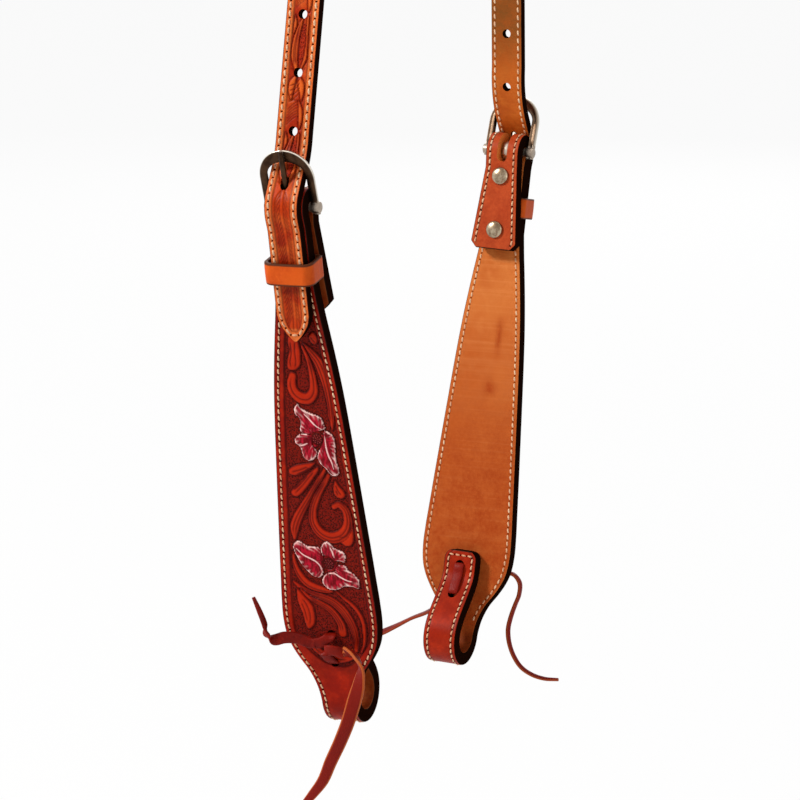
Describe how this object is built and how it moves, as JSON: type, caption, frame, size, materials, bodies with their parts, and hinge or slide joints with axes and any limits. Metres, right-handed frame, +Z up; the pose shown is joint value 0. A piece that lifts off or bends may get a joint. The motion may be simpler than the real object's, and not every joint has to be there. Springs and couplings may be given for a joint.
{
  "type": "western headstall",
  "caption": "Western headstall of floral-tooled, lined leather: folded cheek pieces with buckles, keepers and laced bit loops, joined by a plain crown strap.",
  "frame": {"origin": "Top of the arch, on the underside of the crown strap, where the poll or a peg bears.", "axes": "+Z up as it hangs; -Y towards the near (left) cheek and +Y towards the far one; -X towards the horse's front."},
  "size_m": [0.1083, 0.254, 0.5519],
  "materials": {
    "tooled_leather": "floral tooled, stained mahogany, satin",
    "lining_leather": "plain russet, semi-matte",
    "keeper_leather": "plain, light orange tan, satin",
    "tie_lace": "latigo lace, oiled burgundy",
    "polished_steel": "polished",
    "nickel": "nickel plated, worn satin"
  },
  "bodies": {
    "headstall": {"crown_outer": "tooled_leather", "crown_lining": "lining_leather", "near_cheek_outer": "tooled_leather", "near_cheek_lining": "lining_leather", "near_upper_chicago_post": "nickel", "near_upper_chicago_screw": "nickel", "near_lower_chicago_post": "nickel", "near_lower_chicago_screw": "nickel", "near_tie_run": "tie_lace", "near_tie_knot": "tie_lace", "near_tie_side_tail": "tie_lace", "near_tie_long_tail": "tie_lace", "far_cheek_outer": "tooled_leather", "far_cheek_lining": "lining_leather", "far_upper_chicago_post": "nickel", "far_upper_chicago_screw": "nickel", "far_lower_chicago_post": "nickel", "far_lower_chicago_screw": "nickel", "far_tie_run": "tie_lace", "far_tie_knot": "tie_lace", "far_tie_side_tail": "tie_lace", "far_tie_long_tail": "tie_lace"},
    "near_buckle": {"near_buckle_frame": "polished_steel"},
    "near_tongue": {"near_buckle_tongue": "polished_steel"},
    "near_keeper_band": {"near_keeper": "keeper_leather"},
    "far_buckle": {"far_buckle_frame": "polished_steel"},
    "far_tongue": {"far_buckle_tongue": "polished_steel"},
    "far_keeper_band": {"far_keeper": "keeper_leather"}
  },
  "joints": [
    {"name": "near_buckle_swing", "type": "hinge", "parent": "headstall", "child": "near_buckle", "pos_m": [0, -0.1273, -0.2688], "axis": [0.9987, 0.0496, 0.0137], "range_deg": [0, 3]},
    {"name": "near_tongue_swing", "type": "hinge", "parent": "near_buckle", "child": "near_tongue", "pos_m": [0, -0.1273, -0.2688], "axis": [0.9987, 0.0496, 0.0137], "range_deg": [0, 3]},
    {"name": "near_keeper_slide", "type": "slide", "parent": "headstall", "child": "near_keeper_band", "axis": [-0.0035, -0.1998, 0.9798], "range_m": [-0.003, 0.006]},
    {"name": "far_buckle_swing", "type": "hinge", "parent": "headstall", "child": "far_buckle", "pos_m": [0, 0.0998, -0.2712], "axis": [-0.999, -0.0157, 0.0413], "range_deg": [0, 3]},
    {"name": "far_tongue_swing", "type": "hinge", "parent": "far_buckle", "child": "far_tongue", "pos_m": [0, 0.0998, -0.2712], "axis": [-0.999, -0.0157, 0.0413], "range_deg": [0, 3]},
    {"name": "far_keeper_slide", "type": "slide", "parent": "headstall", "child": "far_keeper_band", "axis": [0.0381, 0.1675, 0.9851], "range_m": [-0.003, 0.006]}
  ]
}
